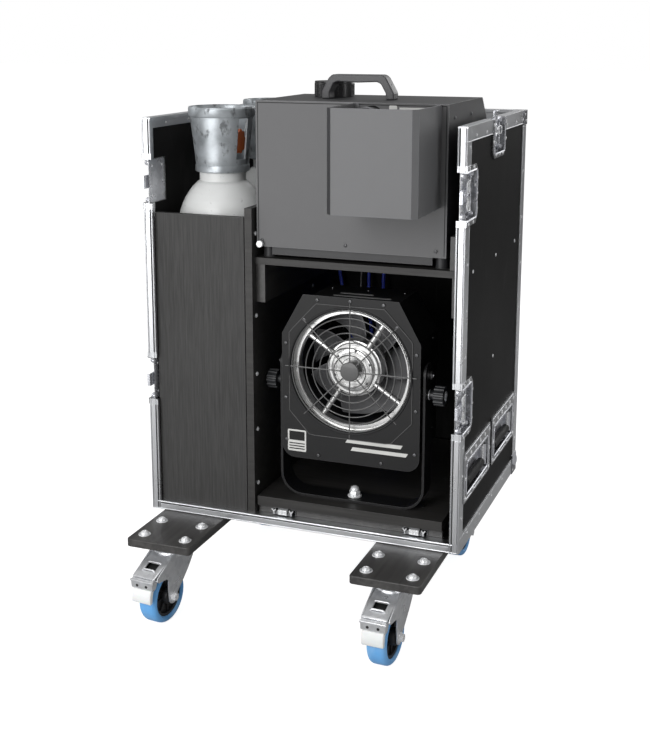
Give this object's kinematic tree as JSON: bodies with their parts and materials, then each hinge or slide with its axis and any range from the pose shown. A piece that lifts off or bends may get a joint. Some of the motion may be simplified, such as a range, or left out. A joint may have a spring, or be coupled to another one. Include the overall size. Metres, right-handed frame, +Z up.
{
  "type": "fog machine",
  "caption": "Open touring case on swivel castors with a fog generator and deflector chute on a shelf, gas cylinders beside it and a tilting stage fan on a slide-out tray below.",
  "frame": {"origin": "on the floor under the middle of the whole object's box", "axes": "+Z up, -Y out of the open front, +X to the right as seen from the front"},
  "size_m": [0.6098, 0.6597, 0.973],
  "materials": {
    "case_laminate": "black phenolic-faced plywood, fine hexagon or grain texture, satin",
    "inner_board": "black-stained plywood, satin",
    "painted_wood": "matt black paint on softwood",
    "case_profile": "satin anodised extrusion with light scratches",
    "corner_steel": "zinc-plated pressed steel",
    "dish_steel": "zinc-plated pressed steel, satin",
    "latch_steel": "zinc-plated steel, satin",
    "runner_steel": "bright zinc-plated steel",
    "castor_zinc": "zinc-plated steel with a fine spangle",
    "castor_hub": "black moulded nylon",
    "blue_tread": "light blue elastic rubber, dusty",
    "pedal_plastic": "off-white moulded plastic on a zinc lever",
    "grip_rubber": "ribbed black rubber sleeve on a bright wire bail",
    "fan_body_paint": "black powder coat, fine orange peel",
    "fan_wire": "dark grey coated wire",
    "motor_metal": "bright machined aluminium",
    "impeller_plastic": "grey moulded plastic",
    "knob_plastic": "black moulded plastic",
    "generator_paint": "charcoal powder coat",
    "generator_panel": "grey-brown powder coat, scuffed",
    "chute_paint": "grey powder coat, scuffed",
    "heater_metal": "cast aluminium",
    "tank_plastic": "translucent white polyethylene",
    "cap_plastic": "black moulded plastic",
    "handle_plastic": "charcoal moulded plastic",
    "cylinder_paint": "light grey enamel",
    "guard_metal": "galvanised pressed steel",
    "valve_brass": "nickel-plated brass, dull",
    "handwheel_plastic": "orange moulded plastic",
    "lead_jacket": "blue cable jacket"
  },
  "bodies": {
    "root": {"base_board": "case_laminate", "left_wall": "case_laminate", "right_wall": "case_laminate", "rear_wall": "case_laminate", "edge_profiles": "case_profile", "corner_pieces": "corner_steel", "divider_panel": "inner_board", "cylinder_bay_panel": "inner_board", "shelf": "inner_board", "battens": "painted_wood", "runner_channels": "runner_steel", "castor_boards": "painted_wood", "castor_plates": "castor_zinc", "castor_bolts": "castor_zinc", "recessed_dishes": "dish_steel", "generator_cover": "generator_paint", "generator_front_panel": "generator_panel", "deflector_chute": "chute_paint", "heat_exchanger": "heater_metal", "fluid_tank": "tank_plastic", "carry_handle": "handle_plastic", "gas_cylinders": "cylinder_paint", "cylinder_guards": "guard_metal", "cylinder_valves": "valve_brass", "signal_leads": "lead_jacket"},
    "tray": {"fan_tray": "inner_board", "runner_rails": "runner_steel", "fan_yoke": "fan_body_paint"},
    "fan": {"fan_housing": "fan_body_paint", "fan_guards": "fan_wire", "fan_motor": "motor_metal"},
    "impeller": {"fan_impeller": "impeller_plastic"},
    "left_knob": {"left_clamp_knob": "knob_plastic"},
    "right_knob": {"right_clamp_knob": "knob_plastic"},
    "fluid_cap": {"fluid_cap": "cap_plastic"},
    "front_handwheel": {"front_handwheel": "handwheel_plastic"},
    "rear_handwheel": {"rear_handwheel": "handwheel_plastic"},
    "front_left_swivel": {"front_left_fork": "castor_zinc"},
    "front_left_wheel": {"front_left_hub": "castor_hub", "front_left_tyre": "blue_tread"},
    "front_left_pedal": {"front_left_brake_pedal": "pedal_plastic"},
    "front_right_swivel": {"front_right_fork": "castor_zinc"},
    "front_right_wheel": {"front_right_hub": "castor_hub", "front_right_tyre": "blue_tread"},
    "front_right_pedal": {"front_right_brake_pedal": "pedal_plastic"},
    "rear_left_swivel": {"rear_left_fork": "castor_zinc"},
    "rear_left_wheel": {"rear_left_hub": "castor_hub", "rear_left_tyre": "blue_tread"},
    "rear_right_swivel": {"rear_right_fork": "castor_zinc"},
    "rear_right_wheel": {"rear_right_hub": "castor_hub", "rear_right_tyre": "blue_tread"},
    "left_front_grip": {"left_front_grip": "grip_rubber"},
    "left_rear_grip": {"left_rear_grip": "grip_rubber"},
    "right_front_grip": {"right_front_grip": "grip_rubber"},
    "right_rear_grip": {"right_rear_grip": "grip_rubber"},
    "left_upper_latch": {"left_upper_latch": "latch_steel"},
    "left_lower_latch": {"left_lower_latch": "latch_steel"},
    "right_upper_latch": {"right_upper_latch": "latch_steel"},
    "right_lower_latch": {"right_lower_latch": "latch_steel"},
    "right_top_latch": {"right_top_latch": "latch_steel"}
  },
  "joints": [
    {"name": "tray_slide", "type": "slide", "parent": "root", "child": "tray", "axis": [0, -1, 0], "range_m": [0, 0.3]},
    {"name": "fan_tilt", "type": "hinge", "parent": "tray", "child": "fan", "pos_m": [0.086, -0.0721, 0.454], "axis": [1, 0, 0], "range_deg": [-15, 15]},
    {"name": "impeller_spin", "type": "hinge", "parent": "fan", "child": "impeller", "pos_m": [0.086, -0.0421, 0.454], "axis": [0, -1, 0], "continuous": true},
    {"name": "left_knob_turn", "type": "hinge", "parent": "fan", "child": "left_knob", "pos_m": [-0.074, -0.0721, 0.418], "axis": [-1, 0, 0], "range_deg": [0, 360]},
    {"name": "right_knob_turn", "type": "hinge", "parent": "fan", "child": "right_knob", "pos_m": [0.246, -0.0721, 0.418], "axis": [1, 0, 0], "range_deg": [0, 360]},
    {"name": "front_left_swivel", "type": "hinge", "parent": "root", "child": "front_left_swivel", "pos_m": [-0.212, -0.2211, 0.135], "axis": [0, 0, 1], "continuous": true},
    {"name": "front_left_wheel_spin", "type": "hinge", "parent": "front_left_swivel", "child": "front_left_wheel", "pos_m": [-0.21639, -0.26287, 0.05], "axis": [0.9945, -0.1045, 0], "continuous": true},
    {"name": "front_left_brake", "type": "hinge", "parent": "front_left_swivel", "child": "front_left_pedal", "pos_m": [-0.22141, -0.31061, 0.096], "axis": [0.9945, -0.1045, 0], "range_deg": [0, 9]},
    {"name": "front_right_swivel", "type": "hinge", "parent": "root", "child": "front_right_swivel", "pos_m": [0.212, -0.2211, 0.135], "axis": [0, 0, 1], "continuous": true},
    {"name": "front_right_wheel_spin", "type": "hinge", "parent": "front_right_swivel", "child": "front_right_wheel", "pos_m": [0.2098, -0.26304, 0.05], "axis": [0.9986, -0.0523, 0], "continuous": true},
    {"name": "front_right_brake", "type": "hinge", "parent": "front_right_swivel", "child": "front_right_pedal", "pos_m": [0.20729, -0.31098, 0.096], "axis": [0.9986, -0.0523, 0], "range_deg": [0, 9]},
    {"name": "rear_left_swivel", "type": "hinge", "parent": "root", "child": "rear_left_swivel", "pos_m": [-0.212, 0.2469, 0.135], "axis": [0, 0, 1], "continuous": true},
    {"name": "rear_left_wheel_spin", "type": "hinge", "parent": "rear_left_swivel", "child": "rear_left_wheel", "pos_m": [-0.20907, 0.205, 0.05], "axis": [0.9976, 0.0698, 0], "continuous": true},
    {"name": "rear_right_swivel", "type": "hinge", "parent": "root", "child": "rear_right_swivel", "pos_m": [0.212, 0.2469, 0.135], "axis": [0, 0, 1], "continuous": true},
    {"name": "rear_right_wheel_spin", "type": "hinge", "parent": "rear_right_swivel", "child": "rear_right_wheel", "pos_m": [0.212, 0.2049, 0.05], "axis": [1, 0, 0], "continuous": true},
    {"name": "left_front_grip_swing", "type": "hinge", "parent": "root", "child": "left_front_grip", "pos_m": [-0.294, -0.0181, 0.303], "axis": [0, 1, 0], "range_deg": [0, 90], "stiffness_Nm_per_rad": 0.15, "springref_deg": -20.05},
    {"name": "left_rear_grip_swing", "type": "hinge", "parent": "root", "child": "left_rear_grip", "pos_m": [-0.294, 0.1909, 0.303], "axis": [0, 1, 0], "range_deg": [0, 90], "stiffness_Nm_per_rad": 0.15, "springref_deg": -20.05},
    {"name": "right_front_grip_swing", "type": "hinge", "parent": "root", "child": "right_front_grip", "pos_m": [0.294, -0.0181, 0.303], "axis": [0, -1, 0], "range_deg": [0, 90], "stiffness_Nm_per_rad": 0.15, "springref_deg": -20.05},
    {"name": "right_rear_grip_swing", "type": "hinge", "parent": "root", "child": "right_rear_grip", "pos_m": [0.294, 0.1909, 0.303], "axis": [0, -1, 0], "range_deg": [0, 90], "stiffness_Nm_per_rad": 0.15, "springref_deg": -20.05},
    {"name": "left_upper_latch_turn", "type": "hinge", "parent": "root", "child": "left_upper_latch", "pos_m": [-0.3, -0.1141, 0.781], "axis": [-1, 0, 0], "range_deg": [0, 90]},
    {"name": "left_lower_latch_turn", "type": "hinge", "parent": "root", "child": "left_lower_latch", "pos_m": [-0.3, -0.1141, 0.412], "axis": [-1, 0, 0], "range_deg": [0, 90]},
    {"name": "right_upper_latch_turn", "type": "hinge", "parent": "root", "child": "right_upper_latch", "pos_m": [0.3, -0.1141, 0.781], "axis": [1, 0, 0], "range_deg": [0, 90]},
    {"name": "right_lower_latch_turn", "type": "hinge", "parent": "root", "child": "right_lower_latch", "pos_m": [0.3, -0.1141, 0.412], "axis": [1, 0, 0], "range_deg": [0, 90]},
    {"name": "right_top_latch_turn", "type": "hinge", "parent": "root", "child": "right_top_latch", "pos_m": [0.3, 0.0879, 0.873], "axis": [1, 0, 0], "range_deg": [0, 90]},
    {"name": "fluid_cap_turn", "type": "hinge", "parent": "root", "child": "fluid_cap", "pos_m": [0.004, 0.0379, 0.945], "axis": [0, 0, 1], "range_deg": [0, 360]},
    {"name": "front_handwheel_turn", "type": "hinge", "parent": "root", "child": "front_handwheel", "pos_m": [-0.19425, -0.0251, 0.849], "axis": [1, 0, 0], "range_deg": [0, 360]},
    {"name": "rear_handwheel_turn", "type": "hinge", "parent": "root", "child": "rear_handwheel", "pos_m": [-0.19425, 0.2169, 0.849], "axis": [1, 0, 0], "range_deg": [0, 360]}
  ]
}
